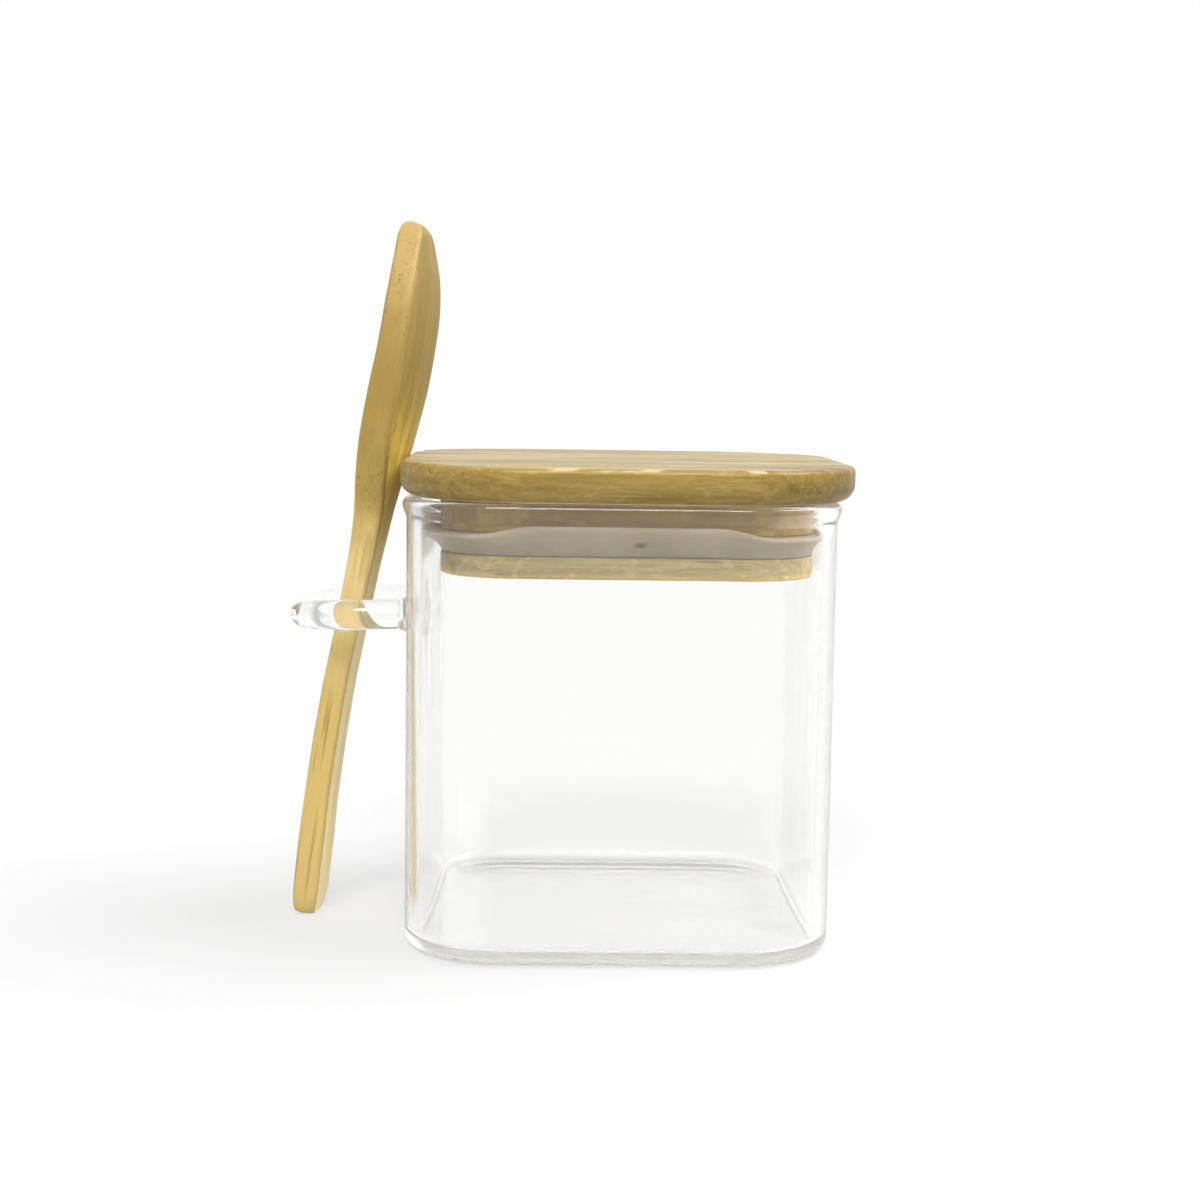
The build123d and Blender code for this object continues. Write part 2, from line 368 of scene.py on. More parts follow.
def spoon_bamboo(name, tones, pores=(), lines=(), broad=1.0, rough=0.5, gloss=0.3):
    """Bamboo with fibres up the spoon. tones are (height in mm, colour); pores and lines are (low, high, strength) bands of height in mm."""
    n = Nodes(name)
    src = n.mapping((1, 1, 1), rotate=(0, math.radians(-9), 0))
    sep = n.new("ShaderNodeSeparateXYZ")
    n.link(n.coord.outputs["Object"], sep.inputs[0])
    edge = n.noise(n.mapping((1, 1, 0.4), source=src), 260, 2.0)
    up = n.math("ADD", sep.outputs[2], n.span(edge, 0.3, 0.7, -0.0035, 0.0035))
    col = n.ramp(n.math("DIVIDE", up, 0.1274), [(z / 127.4, c) for z, c in tones])

    def band(low, high, soft=6.0):
        a = n.span(up, (low - soft) * MM, (low + soft) * MM, 0, 1)
        b = n.span(up, (high - soft) * MM, (high + soft) * MM, 1, 0)
        return n.math("MULTIPLY", a, b)

    slow = n.noise(n.mapping((1, 1, 0.06), source=src), 230, 3.0, 0.5, 0.3)
    fine = n.noise(n.mapping((1, 1, 0.022), source=src), 1500, 3.0, 0.6)
    hair = n.noise(n.mapping((1, 1, 0.05), source=src), 4200, 2.0, 0.6)
    col = n.mix(1.0, col, _grey(n, n.span(slow, 0.3, 0.7, 1 - 0.09 * broad, 1 + 0.09 * broad)), "MULTIPLY")
    col = n.mix(1.0, col, _grey(n, n.span(fine, 0.33, 0.67, 0.955, 1.04)), "MULTIPLY")
    col = n.mix(1.0, col, _grey(n, n.span(hair, 0.3, 0.7, 0.975, 1.02)), "MULTIPLY")
    dark = None
    for low, high, strength in lines:
        streak = n.noise(n.mapping((1, 1, 0.018), source=src), 1150, 1.5, 0.5, 0.15)
        k = n.math("MULTIPLY", n.math("MULTIPLY", n.span(streak, 0.53, 0.64, 0, 1), band(low, high, 4.0)), strength)
        dark = k if dark is None else n.math("MAXIMUM", dark, k)
    dots = None
    for low, high, strength in pores:
        cell = n.cells(n.mapping((1, 1, 0.6), source=src), 1700, "F1", 1.0)
        keep = n.span(n.noise(n.mapping((1, 1, 0.6), source=src), 700, 2.0), 0.47, 0.56, 0.0, 1.0)
        k = n.math("MULTIPLY", n.span(cell.outputs["Distance"], 0.14, 0.34, 1.0, 0.0), keep)
        k = n.math("MULTIPLY", n.math("MULTIPLY", k, band(low, high)), strength)
        dots = k if dots is None else n.math("MAXIMUM", dots, k)
    height = n.math("ADD", n.math("MULTIPLY", fine, 0.5), n.math("MULTIPLY", hair, 0.3))
    if dark is not None:
        col = n.mix(dark, col, n.mix(1.0, col, (0.56, 0.46, 0.30), "MULTIPLY"))
        height = n.math("SUBTRACT", height, n.math("MULTIPLY", dark, 0.4))
    if dots is not None:
        col = n.mix(dots, col, n.mix(1.0, col, (0.42, 0.34, 0.20), "MULTIPLY"))
        height = n.math("SUBTRACT", height, n.math("MULTIPLY", dots, 0.8))
    n.surface(Base_Color=col, Roughness=n.span(slow, 0.3, 0.7, rough + 0.05, rough - 0.05), IOR=1.45, Specular_IOR_Level=gloss,
              Normal=n.bump(height, 0.3, 0.0001))
    return n.mat


def _grey(n, value):
    c = n.new("ShaderNodeCombineColor")
    for i in range(3):
        n.link(value, c.inputs[i])
    return c.outputs["Color"]


def glass(name, wavy=0.06, tint=(0.938, 0.939, 0.925), density=9.0):
    n = Nodes(name)
    soft = n.noise(n.mapping((1, 1, 0.45)), 55, 2.0, 0.5)
    sep = n.new("ShaderNodeSeparateXYZ")                                 # the pressed foot and sides are not as smooth as the rest
    n.link(n.coord.outputs["Object"], sep.inputs[0])
    side = n.math("ABSOLUTE", sep.outputs[0])
    side = n.math("MULTIPLY", n.span(side, 0.031, 0.035, 0, 1), n.span(side, 0.0384, 0.039, 1, 0))
    rough = n.math("MAXIMUM", n.span(sep.outputs[2], 0.0035, 0.007, 0.075, 0.05), n.math("MULTIPLY", side, 0.12))
    n.surface(Base_Color=(0.997, 0.997, 0.988, 1), Roughness=rough, IOR=1.47, Transmission_Weight=0.98,
              Normal=n.bump(soft, wavy, 0.0008))
    vol = n.new("ShaderNodeVolumeAbsorption")
    vol.inputs["Color"].default_value = (*tint, 1)
    vol.inputs["Density"].default_value = density
    n.link(vol.outputs["Volume"], n.out.inputs["Volume"])
    return n.mat


def silicone(name):
    n = Nodes(name)
    cloud = n.noise(n.mapping((1, 1, 1)), 120, 3.0)
    grain = n.noise(n.mapping((1, 1, 1)), 3000, 2.0)
    col = n.ramp(cloud, [(0.3, srgb(176, 161, 133)), (0.7, srgb(188, 175, 149))])
    sep = n.new("ShaderNodeSeparateXYZ")
    n.link(n.coord.outputs["Object"], sep.inputs[0])
    # painted shade: the ring darkens towards its bottom edge
    col = n.mix(1.0, col, _grey(n, n.span(sep.outputs[2], 0.0702, 0.0730, 0.70, 1.0)), "MULTIPLY")
    far = n.new("ShaderNodeVectorMath", operation="LENGTH")              # painted shade darkens the mould mark
    n.link(n.mapping((1, 1, 1.45), move=(-0.0026, 0.0336, -0.07195 * 1.45)), far.inputs[0])
    col = n.mix(n.span(far.outputs["Value"], 0.0007, 0.0013, 0.8, 0.0), col, srgb(118, 98, 66))
    n.surface(Base_Color=col, Roughness=0.42, IOR=1.42, Subsurface_Weight=0.35, Subsurface_Scale=0.0015,
              Subsurface_Radius=(1.0, 0.8, 0.6), Normal=n.bump(grain, 0.15, 0.00005))
    return n.mat


# ------------------------------------------------------------------ materials
# the top is paler than the sides partly from the bamboo's own face and partly as painted light and reflection, where
# the top faces up to the light
lid_top_m = bamboo("lid_bamboo_top", (0.455, 0.368, 0.206), (0.325, 0.247, 0.130), (0.190, 0.134, 0.062), "x", strips=(1, 0.0072), rough=0.5, gloss=0.2)
# painted light: the underside is made far paler than the rest of the bamboo, for light that does not reach it between
# lid and rim
lid_underside_painted_light_m = bamboo("lid_bamboo_underside_painted_light", (0.86, 0.71, 0.46), (0.78, 0.62, 0.38), (0.66, 0.50, 0.28), "x", rough=0.6, gloss=0.2)
# painted light and shade: the side is painted lighter at its lower rounding and towards the top curve, darker towards
# the right end, with a painted cream highlight along the top edge
lid_side_m = bamboo("lid_bamboo_side", (0.300, 0.212, 0.060), (0.240, 0.161, 0.038), (0.186, 0.119, 0.024), "x", rough=0.36, dots=0.5, gloss=0.3, dashes=0.45,
                    painted_light_by_height=((79.2, 1.32), (82.0, 1.0), (82.8, 1.05), (83.8, 1.32), (84.5, 1.42), (84.9, 1.15)),
                    edge=(84.70, 84.84, (0.48, 0.40, 0.20)), painted_shade_by_x=(14, 40, 0.75))
plug_m = bamboo("plug_bamboo", (0.465, 0.292, 0.040), (0.335, 0.203, 0.022), (0.220, 0.126, 0.012), "x", rough=0.5, gloss=0.3, dashes=0.4)
# painted highlight: the flange's bottom edge is painted lighter, where the rounding faces the bright floor
flange_m = bamboo("flange_bamboo", (0.54, 0.412, 0.178), (0.425, 0.314, 0.124), (0.30, 0.207, 0.072), "x", rough=0.5, gloss=0.3, dashes=0.5, painted_light_by_height=((66.2, 1.75), (67.4, 1.0)))
# tones by height on the edge: partly the bamboo's own tone, partly painted shade, darker about the neck and the bowl
# where less light falls
spoon_edge_m = spoon_bamboo(
    "spoon_bamboo_edge",
    [(0, (0.575, 0.412, 0.146)), (28, (0.56, 0.40, 0.126)), (42, (0.55, 0.395, 0.128)), (62, (0.70, 0.53, 0.232)), (76, (0.48, 0.337, 0.089)),
     (95, (0.382, 0.260, 0.058)), (108, (0.385, 0.262, 0.067)), (122, (0.402, 0.275, 0.092))],
    pores=((77, 87, 0.85), (110, 123, 0.8)), lines=((26, 40, 0.8), (3, 17, 0.6), (62, 72, 0.35)), broad=0.7, rough=0.5)
# painted light and shade: the side facing the jar is painted pale low down, where the lid and glass shade it, and dark
# olive from the neck up as shade, a shaded copy of the edge's bamboo
spoon_face_painted_shading_m = spoon_bamboo(
    "spoon_bamboo_face_painted_shading",
    [(0, (0.88, 0.71, 0.36)), (40, (0.93, 0.76, 0.40)), (58, (0.94, 0.77, 0.40)), (70, (0.92, 0.69, 0.24)), (82, (0.94, 0.66, 0.135)), (91, (0.435, 0.293, 0.038)),
     (100, (0.308, 0.210, 0.025)), (118, (0.335, 0.232, 0.055))],
    lines=((84, 104, 0.25),), broad=1.1, rough=0.55, gloss=0.25)
spoon_hollow_m = spoon_bamboo(
    "spoon_bamboo_hollow",
    [(0, (0.66, 0.50, 0.21)), (40, (0.68, 0.52, 0.22)), (62, (0.70, 0.53, 0.225)), (76, (0.60, 0.44, 0.16)), (92, (0.50, 0.355, 0.11)), (118, (0.47, 0.33, 0.10))],
    pores=((80, 96, 0.4),), lines=((20, 50, 0.5), (84, 110, 0.35)), broad=1.2, rough=0.55, gloss=0.25)
jar_glass_m = glass("jar_glass")
silicone_m = silicone("seal_silicone")


# ------------------------------------------------------------------ glass jar and loop
def build_jar():
    path, nor = square_path(JAR_W, JAR_R, 26, 16)
    H, w = JAR_H, -WALL
    prof = arc(-FOOT_R, FOOT_R, FOOT_R, -90, 0, 8)                       # foot
    prof += [(0.0, z) for z in (6, 14, 26, 40, 54, 66, 73, 75.4)]
    for i in range(1, 9):                                                # flare
        t = i / 8
        prof.append((RIM_OUT * (t * t * (3 - 2 * t)), 75.4 + 2.3 * t))
    r = 0.95
    prof += arc(RIM_OUT - r, H - r, r, 0, 90, 8)                         # rim, outside
    r2 = 0.75
    prof += [(w + r2 + 0.35, H - 0.02)]
    prof += arc(w + r2, H - r2, r2, 90, 180, 7)                          # rim, inside
    prof += [(w, z) for z in (76, 70, 58, 44, 30, 18, 10, 6.4, 4.9)]
    prof += arc(w - WELL_R, FLOOR + WELL_R, WELL_R, 0, -90, 12)          # well
    rings = []
    for d, z in prof:
        q = path + nor * d
        rings.append(np.c_[q, np.full(len(q), z)])
    inner = rings[-1]
    rings += shrink_rings(inner, (0.93, 0.8, 0.6, 0.35, 0.12), lambda f: -0.2 * (1 - f * f))
    outer = rings[0]
    start = shrink_rings(outer, (0.12, 0.35, 0.6, 0.8, 0.93), lambda f: 0.35 * max(0.0, min(1.0, (0.93 - f) / 0.2)) ** 1.0 * 1.0)
    rings = start + rings
    rings = np.array(rings)
    flat = rings.reshape(-1, 3)
    # hand-pressed walls are never quite flat
    amp = 0.05 * np.clip((flat[:, 2] - 2) / 8, 0, 1) * np.clip((78.0 - flat[:, 2]) / 6, 0, 1)
    r_in = np.hypot(flat[:, 0], flat[:, 1])
    flat = flat + np.c_[flat[:, 0] / r_in, flat[:, 1] / r_in, 0 * r_in] * (amp * wave(flat, 5, 0.075))[:, None]
    verts, faces = rings_to_mesh(flat.reshape(rings.shape))
    ob = make_object("jar_glass", verts, faces, materials=[jar_glass_m])
    recalc(ob)
    return ob


def build_loop():
    """The U-shaped rod, from inside one wall to the other, with feet that flare into the wall."""
    wall_x = -JAR_W / 2
    bend_x = wall_x - LOOP_OUT + LOOP_R
    pts = []
    lead = 1.2
    s_in = np.r_[np.linspace(-lead, 0, 3)[:-1], np.linspace(0, 2.6, 14), np.linspace(3.2, wall_x - bend_x, 5)]
    for s in s_in:
        pts.append((wall_x - s, -LOOP_R, s))
    for a in np.linspace(0, math.pi, 49)[1:-1]:
        pts.append((bend_x - LOOP_R * math.sin(a), -LOOP_R * math.cos(a), 99))
    for s in s_in[::-1]:
        pts.append((wall_x - s, LOOP_R, s))
    P = np.array([(x, y, LOOP_Z) for x, y, s in pts])
    S = np.array([s for x, y, s in pts])
    out = np.clip((wall_x - P[:, 0]) / LOOP_OUT, 0, 1)
    P[:, 2] += 0.35 - 1.15 * out**2                                     # the end of the loop droops a little
    T = np.gradient(P, axis=0)
    T /= np.linalg.norm(T, axis=1)[:, None]
    rings = []
    R = 1.9
    n = 40
    for k, (p, t, s) in enumerate(zip(P, T, S)):
        side = np.cross(t, (0, 0, 1))
        side /= np.linalg.norm(side)
        up = np.cross(side, t)
        rad = ROD_R * (1 + 0.02 * math.sin(k * 0.33) + 0.012 * math.sin(k * 0.81 + 1))
        if s < R:
            q = max(s, 0.0)
            rad += R - math.sqrt(max(R * R - (R - q) ** 2, 0.0))
        a = np.linspace(0, 2 * math.pi, n, endpoint=False)
        rings.append(p + np.outer(np.cos(a), side) * rad * 1.0 + np.outer(np.sin(a), up) * rad * 1.0)
    verts, faces = rings_to_mesh(rings)
    ob = make_object("loop_rod", verts, faces, materials=[jar_glass_m])
    recalc(ob)
    return ob


def union(a, b, name):
    m = a.modifiers.new("join", "BOOLEAN")
    m.operation, m.solver, m.object = "UNION", "EXACT", b
    dg = bpy.context.evaluated_depsgraph_get()
    me = bpy.data.meshes.new_from_object(a.evaluated_get(dg))
    ob = bpy.data.objects.new(name, me)
    scene.collection.objects.link(ob)
    for o in (a, b):
        bpy.data.objects.remove(o)
    me.polygons.foreach_set("use_smooth", [True] * len(me.polygons))
    me.update()
    return ob


jar = union(build_jar(), build_loop(), "glass_jar_and_loop")
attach(jar, "jar")
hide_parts("glass_jar", "glass_loop")


# ------------------------------------------------------------------ lid
def build_plate():
    path, nor = square_path(PLATE_W, PLATE_R, 40, 40)
    rt, ra, rb, T = 0.95, 1.5, 3.0, PLATE_T
    prof = [(-7.0, 0.0), (-4.5, 0.0)]
    prof += arc(-rb, rb, rb, -90, 0, 12)
    prof += [(0.0, 3.5), (0.0, 4.2), (0.0, 4.9)]
    for i in range(15):                                                  # the top edge is eased more inwards than down
        a = math.pi / 2 * i / 14
        prof.append((-ra + ra * math.cos(a) ** 0.9, T - rt + rt * math.sin(a)))
    prof += [(-1.8, T), (-2.6, T), (-4.2, T), (-7.0, T)]
    rings = []
    run = np.cumsum(np.r_[0, np.linalg.norm(np.diff(path, axis=0), axis=1)])
    for d, z in prof:
        q = path + nor * d
        w = 0.10 * wave(np.c_[q, np.full(len(q), z * 2)], 11, 0.55) * (1 if z > 3.2 and d > -1.7 else 0.0)
        w = np.clip(w, -0.12, 0.0)
        q = q + nor * w[:, None]
        rings.append(np.c_[q + np.array([LID_DX, 0]), PLATE_Z + np.full(len(q), z) + w * 0.8])
    low = shrink_rings(rings[0], (0.1, 0.4, 0.75))
    top = shrink_rings(rings[-1], (0.93, 0.8, 0.6, 0.4, 0.2, 0.06))
    rings = np.array(low + rings + top)
    flat = rings.reshape(-1, 3)
    flat[:, 2] -= 0.22 * np.clip(flat[:, 1] / 40, 0, 1) ** 2 * np.clip((flat[:, 2] - PLATE_Z - 3) / 2, 0, 1)
    verts, faces = rings_to_mesh(flat.reshape(rings.shape))
    slots = []
    for f in faces:
        c = np.mean([verts[i] for i in f], axis=0)
        top_z = PLATE_Z + PLATE_T - 0.10 - 0.22 * max(0.0, c[1] / 40) ** 2
        slots.append(0 if c[2] > top_z else 2 if c[2] < PLATE_Z + 0.2 else 1)
    ob = make_object("lid_plate_top", verts, faces, materials=[lid_top_m, lid_side_m, lid_underside_painted_light_m], slots=slots)
    recalc(ob)
    return ob


def build_plug():
    path, nor = square_path(PLUG_W, PLUG_R, 28, 24)
    top, low = PLATE_Z, PLATE_Z - PLUG_DEEP
    g0, g1, gi = PLATE_Z - GROOVE_TOP, PLATE_Z - GROOVE_LOW, -GROOVE_IN
    prof = [(-4.0, low), (-1.4, low)]
    prof += arc(-0.55, low + 0.55, 0.55, -90, 0, 5)
    prof += [(0.0, low + 1.8), (0.0, g1 - 0.9)]
    prof += arc(-0.35, g1 - 0.35, 0.35, 0, 90, 4)
    prof += [(gi + 0.1, g1), (gi, g1 + 0.1), (gi, (g0 + g1) / 2), (gi, g0 - 0.1), (gi + 0.1, g0)]
    prof += arc(-0.3, g0 + 0.3, 0.3, -90, 0, 4)
    prof += [(0.0, g0 + 1.2), (0.0, top - 0.6), (0.0, top + 0.02)]
    prof += [(-3.0, top + 0.02)]
    rings = []
    for d, z in prof:
        q = path + nor * d
        rings.append(np.c_[q + np.array([LID_DX, 0]), np.full(len(q), z)])
    rings = shrink_rings(rings[0], (0.05, 0.3, 0.6, 0.85)) + rings + shrink_rings(rings[-1], (0.5, 0.05))
    verts, faces = rings_to_mesh(np.array(rings))
    slots = [1 if np.mean([verts[i][2] for i in f]) < g1 + 0.02 else 0 for f in faces]
    ob = make_object("lid_plug_block", verts, faces, materials=[plug_m, flange_m], slots=slots)
    recalc(ob)
    return ob


def build_seal():
    """The silicone ring: its foot fills the groove, its lip flares out and up to the glass, and droops at the corners."""
    path, nor = square_path(PLUG_W, PLUG_R, 44, 90)
    lip_path, lip_nor = square_path(LIP_W, LIP_R, 44, 90)
    lid = np.array([LID_DX, 0])
    lowz, grz, topz = PLATE_Z - GROOVE_LOW + 0.05, PLATE_Z - GROOVE_TOP - 0.04, PLATE_Z - LIP_TIP
    rows = []                                                            # ring, height, share of the lip's droop

    def at(s, inward=0.0):
        return ((path - nor * 0.1 + lid) * (1 - s) + (lip_path - lip_nor * inward) * s)

    rows.append((path - nor * 1.9 + lid, lowz, 0))
    rows.append((path - nor * 0.9 + lid, lowz, 0))
    rows.append((path - nor * 0.38 + lid, lowz, 0))
    rows.append((path - nor * 0.2 + lid, lowz + 0.05, 0))
    rows.append((at(0.0), lowz + 0.22, 0))
    for s_, z in ((0.05, 0.55), (0.13, 1.0), (0.24, 1.5), (0.37, 2.0), (0.51, 2.5), (0.66, 3.0), (0.80, 3.5), (0.91, 3.95), (0.97, 4.3), (1.0, 4.65)):
        rows.append((at(s_), lowz + z, min(1.0, (z / 4.65)) ** 2))
    rows.append((at(1.0), topz - 0.40, 1))
    rows.append((at(1.0, 0.06), topz - 0.18, 1))
    rows.append((at(1.0, 0.22), topz - 0.04, 1))
    rows.append((at(1.0, 0.5), topz, 1))
    rows.append((at(1.0, 0.78), topz - 0.04, 1))
    rows.append((at(1.0, 0.94), topz - 0.18, 1))
    base = path + nor * 0.12 + lid
    tip = lip_path - lip_nor * 1.0
    for t, z in ((0.85, 0.9), (0.6, 0.62), (0.3, 0.3), (0.1, 0.08)):
        rows.append((base * (1 - t) + tip * t, grz + 0.04 + (topz - 0.3 - grz) * z, z))
    rows.append((base, grz + 0.02, 0))
    rows.append((path - nor * 0.9 + lid, grz, 0))
    rows.append((path - nor * 1.9 + lid, grz, 0))
    rows.append((path - nor * 1.95 + lid, (grz + lowz) / 2, 0))
    corner = np.clip((np.minimum(np.abs(lip_path[:, 0]), np.abs(lip_path[:, 1])) - 15.0) / 11.0, 0, 1)
    corner = corner * corner * (3 - 2 * corner)
    rings = np.array([np.c_[q, z - 1.62 * d * corner] for q, z, d in rows])
    flat = rings.reshape(-1, 3)
    # a small mould mark on the front of the ring
    d = ((flat[:, 0] - 2.6) / 1.15) ** 2 + ((flat[:, 2] - (lowz + 1.95)) / 0.80) ** 2
    front = (flat[:, 1] < -32.0) & (flat[:, 2] > lowz + 0.2)
    flat[:, 1] += np.where(front, 0.55 * np.exp(-(d**2) * 0.9), 0.0)
    # soft rubber is a little uneven
    flat[:, 2] += 0.05 * wave(flat, 21, 0.22) * np.clip((np.abs(flat[:, :2]).max(1) - 33) / 1.5, 0, 1) * (flat[:, 2] > lowz + 1.0)
    verts, faces = rings_to_mesh(flat.reshape(rings.shape), closed=True)
    ob = make_object("silicone_seal", verts, faces, materials=[silicone_m])
    recalc(ob)
    return ob


plate = build_plate()
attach(plate, "lid")
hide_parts("lid_plate")
plug = build_plug()
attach(plug, "lid")
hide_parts("lid_plug")
seal = build_seal()
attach(seal, "lid")
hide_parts("seal_ring")


# ------------------------------------------------------------------ spoon
def smooth_table(rows, z):
    """Monotone cubic through the rows at heights z, column by column."""
    t = np.array(rows)
    x, out = t[:, 0], []
    h = np.diff(x)
    for c in range(1, t.shape[1]):
        y = t[:, c]
        d = np.diff(y) / h
        m = np.zeros(len(y))
        m[0], m[-1] = d[0], d[-1]
        for i in range(1, len(y) - 1):
            if d[i - 1] * d[i] > 0:
                w1, w2 = 2 * h[i] + h[i - 1], h[i] + 2 * h[i - 1]
                m[i] = (w1 + w2) / (w1 / d[i - 1] + w2 / d[i])
        k = np.clip(np.searchsorted(x, z) - 1, 0, len(h) - 1)
        s = (z - x[k]) / h[k]
        out.append((1 + 2 * s) * (1 - s) ** 2 * y[k] + s * (1 - s) ** 2 * h[k] * m[k] + s * s * (3 - 2 * s) * y[k + 1] + s * s * (s - 1) * h[k] * m[k + 1])
    return out


def build_spoon():
    z = np.r_[np.linspace(0, 3, 12)[:-1], np.linspace(3, 120, 190)[:-1], np.linspace(120, 126.6, 22)[:-1], np.linspace(126.6, 127.4, 6)]
    xl, xr, hw, cr = smooth_table(SPOON_SECTIONS, z)
    ca, sa = math.cos(math.radians(SPOON_YAW)), math.sin(math.radians(SPOON_YAW))
    n_face, n_arc = 34, 6
    rings, kinds = [], []
    for zz, a, b, w, c in zip(z, xl, xr, hw, cr):
        t = b - a
        r = min(0.75, (t - c) * 0.3, w * 0.45)
        loc, kind = [], []
        for q in np.linspace(w - r, -(w - r), n_face):                   # hollow side, far to near
            loc.append((0.0, q))
            kind.append(0)
        for th in np.linspace(0, math.pi / 2, n_arc)[1:]:
            loc.append((r - r * math.cos(th), -(w - r) - r * math.sin(th)))
            kind.append(1)
        for p in np.linspace(r, t - c - r, 7)[1:]:                       # near edge
            loc.append((p, -w))
            kind.append(1)
        for th in np.linspace(0, math.pi / 2, n_arc)[1:]:
            loc.append((t - c - r + r * math.sin(th), -(w - r) - r * math.cos(th)))
            kind.append(1)
        for q in np.linspace(-(w - r), w - r, n_face)[1:]:               # round side
            base = t - c + c * (1 - (q / w) ** 2) - c * (1 - ((w - r) / w) ** 2)
            loc.append((base, q))
            kind.append(2)
        for th in np.linspace(0, math.pi / 2, n_arc)[1:]:
            loc.append((t - c - r + r * math.cos(th), (w - r) + r * math.sin(th)))
            kind.append(1)
        for p in np.linspace(t - c - r, r, 7)[1:]:                       # far edge
            loc.append((p, w))
            kind.append(1)
        for th in np.linspace(0, math.pi / 2, n_arc)[1:-1]:
            loc.append((r - r * math.sin(th), (w - r) + r * math.cos(th)))
            kind.append(1)
        L = np.array(loc)
        # the bowl on the hollow side
        al, aw = 19.0, 12.2
        rho = ((zz - 104.0) / al) ** 2 + (L[:, 1] / aw) ** 2
        deep = 2.3 * np.clip(1 - rho, 0, 1) ** 0.8
        first = np.array(kind) == 0
        L[:, 0] += np.where(first, deep, 0)
        x = a + L[:, 0] * ca - L[:, 1] * sa
        y = L[:, 0] * sa + L[:, 1] * ca
        rings.append(np.c_[x, y, np.full(len(x), zz)])
        kinds.append(kind)
    rings = np.array(rings)
    flat = rings.reshape(-1, 3)
    c = np.repeat(rings.mean(1), rings.shape[1], axis=0)
    out = flat - c
    out[:, 2] = 0
    out /= np.maximum(np.linalg.norm(out, axis=1), 1e-6)[:, None]
    keep = np.clip(flat[:, 2] / 1.5, 0, 1)
    flat = flat - out * (0.05 * (1 + wave(flat, 31, 0.35)) * keep)[:, None]
    verts, faces = rings_to_mesh(flat.reshape(rings.shape))
    N = rings.shape[1]
    kind = kinds[0]
    slots = []
    for f in faces:
        i = min(f[0] % N, N - 1) if f[0] < N * len(z) else 0
        j = min(f[1] % N, N - 1) if f[1] < N * len(z) else 0
        k = {kind[i], kind[j]}
        slots.append(0 if 1 in k else 2 if 0 in k else 1)
    ob = make_object("bamboo_spoon", verts, faces, materials=[spoon_edge_m, spoon_face_painted_shading_m, spoon_hollow_m], slots=slots)
    recalc(ob)
    return ob


spoon = build_spoon()
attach(spoon, "spoon")
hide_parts("spoon")

# ------------------------------------------------------------------ floor, light, camera
floor_me = bpy.data.meshes.new("floor")
floor_me.from_pydata([(-4, -4, -0.0002), (4, -4, -0.0002), (4, 4, -0.0002), (-4, 4, -0.0002)], [], [(0, 1, 2, 3)])
floor = bpy.data.objects.new("floor", floor_me)
scene.collection.objects.link(floor)
MIRRORED = 0.45      # the room looks darker to the left, in reflections, than the lit table and backdrop do
SKY = 0.45           # and the softboxes light the object more than the backdrop does
fm = Nodes("floor_pale")
f_path = fm.new("ShaderNodeLightPath").outputs
f_at = fm.new("ShaderNodeSeparateXYZ")
fm.link(fm.coord.outputs["Object"], f_at.inputs[0])
# painted reflection and light on the floor: it reads darker towards the front in glossy reflections, and brighter under
# and just round the jar where it is seen through the glass
f_dark = fm.math("MULTIPLY", fm.math("MULTIPLY", f_path["Is Glossy Ray"], fm.math("SUBTRACT", 1.0, f_path["Is Transmission Ray"])),
                 fm.span(f_at.outputs[1], -0.30, -0.04, 0.6, 0.15))
f_far = fm.new("ShaderNodeVectorMath", operation="LENGTH")
fm.link(fm.coord.outputs["Object"], f_far.inputs[0])
f_lit = fm.math("MULTIPLY", f_path["Is Transmission Ray"], fm.span(f_far.outputs["Value"], 0.045, 0.062, 0.12, 0.0))
seen = fm.math("ADD", fm.math("SUBTRACT", 1.0, f_dark), f_lit)
fm.surface(Base_Color=_grey(fm, fm.math("MULTIPLY", seen, 0.22)), Roughness=0.9, Specular_IOR_Level=0.0, Emission_Color=(1, 1, 1, 1),
           Emission_Strength=fm.math("MULTIPLY", seen, 0.61))
floor_me.materials.append(fm.mat)

world = bpy.data.worlds.new("studio")
scene.world = world
world.use_nodes = True
wt = world.node_tree
wt.nodes.clear()
w_out = wt.nodes.new("ShaderNodeOutputWorld")
w_bg = wt.nodes.new("ShaderNodeBackground")
w_bg.inputs["Color"].default_value = (1, 1, 1, 1)
w_path = wt.nodes.new("ShaderNodeLightPath").outputs
w_way = wt.nodes.new("ShaderNodeSeparateXYZ")
wt.links.new(wt.nodes.new("ShaderNodeTexCoord").outputs["Generated"], w_way.inputs[0])


def w_math(op, a, b, clamp=False):
    n = wt.nodes.new("ShaderNodeMath")
    n.operation, n.use_clamp = op, clamp
    for i, v in enumerate((a, b)):
        if isinstance(v, (int, float)):
            n.inputs[i].default_value = v
        else:
            wt.links.new(v, n.inputs[i])
    return n.outputs[0]


def w_dark(axis, low, high, depth):
    """How much darker the room is one way: depth at low, nothing at high, along x or y."""
    n = wt.nodes.new("ShaderNodeMapRange")
    n.interpolation_type = "SMOOTHSTEP"
    for key, v in (("From Min", low), ("From Max", high), ("To Min", depth), ("To Max", 0.0)):
        n.inputs[key].default_value = v
    wt.links.new(w_way.outputs[axis], n.inputs["Value"])
    return n.outputs["Result"]


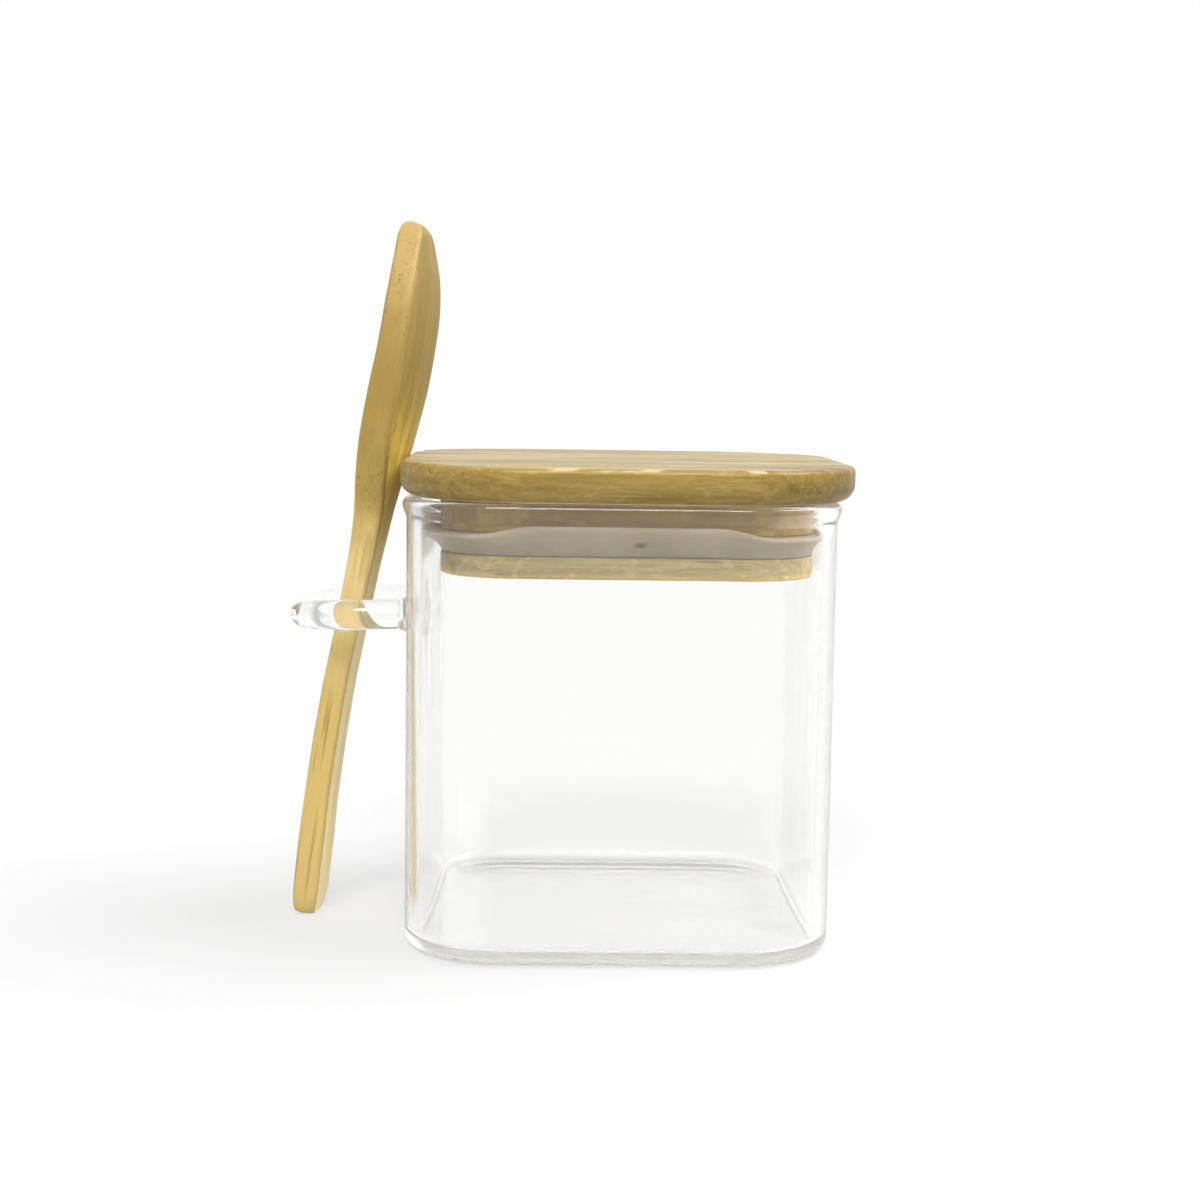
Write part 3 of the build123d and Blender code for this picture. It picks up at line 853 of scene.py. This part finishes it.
w_mirror = w_math("SUBTRACT", w_path["Is Glossy Ray"], w_path["Is Transmission Ray"], True)
w_front = w_math("MULTIPLY", w_dark(1, -0.2, 0.7, 0.65), w_dark(0, 0.05, 0.55, 1.0))
w_off = w_math("MULTIPLY", w_mirror, w_math("MAXIMUM", w_dark(0, -0.9, 0.0, 1.0 - MIRRORED), w_front))
w_off = w_math("ADD", w_off, w_math("MULTIPLY", w_path["Is Transmission Ray"], w_dark(0, -0.95, -0.35, 0.45)))
w_off = w_math("ADD", w_off, w_math("MULTIPLY", w_path["Is Diffuse Ray"], 1.0 - SKY))
w_card = w_math("MULTIPLY", w_path["Is Transmission Ray"], w_math("SUBTRACT", 3.0, w_dark(0, 0.35, 0.85, 3.0)))
wt.links.new(w_math("ADD", w_math("SUBTRACT", 1.0, w_off, True), w_card), w_bg.inputs["Strength"])
wt.links.new(w_bg.outputs[0], w_out.inputs["Surface"])


def sun(name, source, power, wide):
    """A soft light from far away, in the direction source."""
    li = bpy.data.lights.new(name, "SUN")
    li.energy, li.angle = power, math.radians(wide)
    ob = bpy.data.objects.new(name, li)
    scene.collection.objects.link(ob)
    ob.matrix_world = Matrix.Translation(source) @ Vector(source).to_track_quat("Z", "Y").to_matrix().to_4x4()
    return ob


sun("softbox_right", (0.56, 0.03, 0.80), 2.9, 36)
sun("softbox_front", (-0.05, -0.76, 0.80), 2.7, 28)

# the camera was solved from the edges of the glass and the lid
F_PX, PITCH, ROLL, YAW, X0, DIST, CAM_H = 2030.1, 6.62, 0.87, 1.48, -3.14, 373.8, 102.3
ps, th, ro = math.radians(YAW), math.radians(PITCH), math.radians(ROLL)


def unturn(x, y, z):
    return Vector((x * math.cos(ps) + y * math.sin(ps), -x * math.sin(ps) + y * math.cos(ps), z))


right0, fwd = unturn(1, 0, 0), unturn(0, math.cos(th), -math.sin(th))
up0 = right0.cross(fwd)
right = right0 * math.cos(ro) + up0 * math.sin(ro)
up = up0 * math.cos(ro) - right0 * math.sin(ro)
cam_data = bpy.data.cameras.new("camera")
cam_data.sensor_width = 36.0
cam_data.lens = F_PX / 1200.0 * 36.0
cam_data.clip_start = 0.01
cam = bpy.data.objects.new("camera", cam_data)
scene.collection.objects.link(cam)
cam.matrix_world = Matrix.Translation(unturn(X0, -DIST, CAM_H) * MM) @ Matrix((right, up, -fwd)).transposed().to_4x4()
scene.camera = cam

bpy.context.view_layer.update()
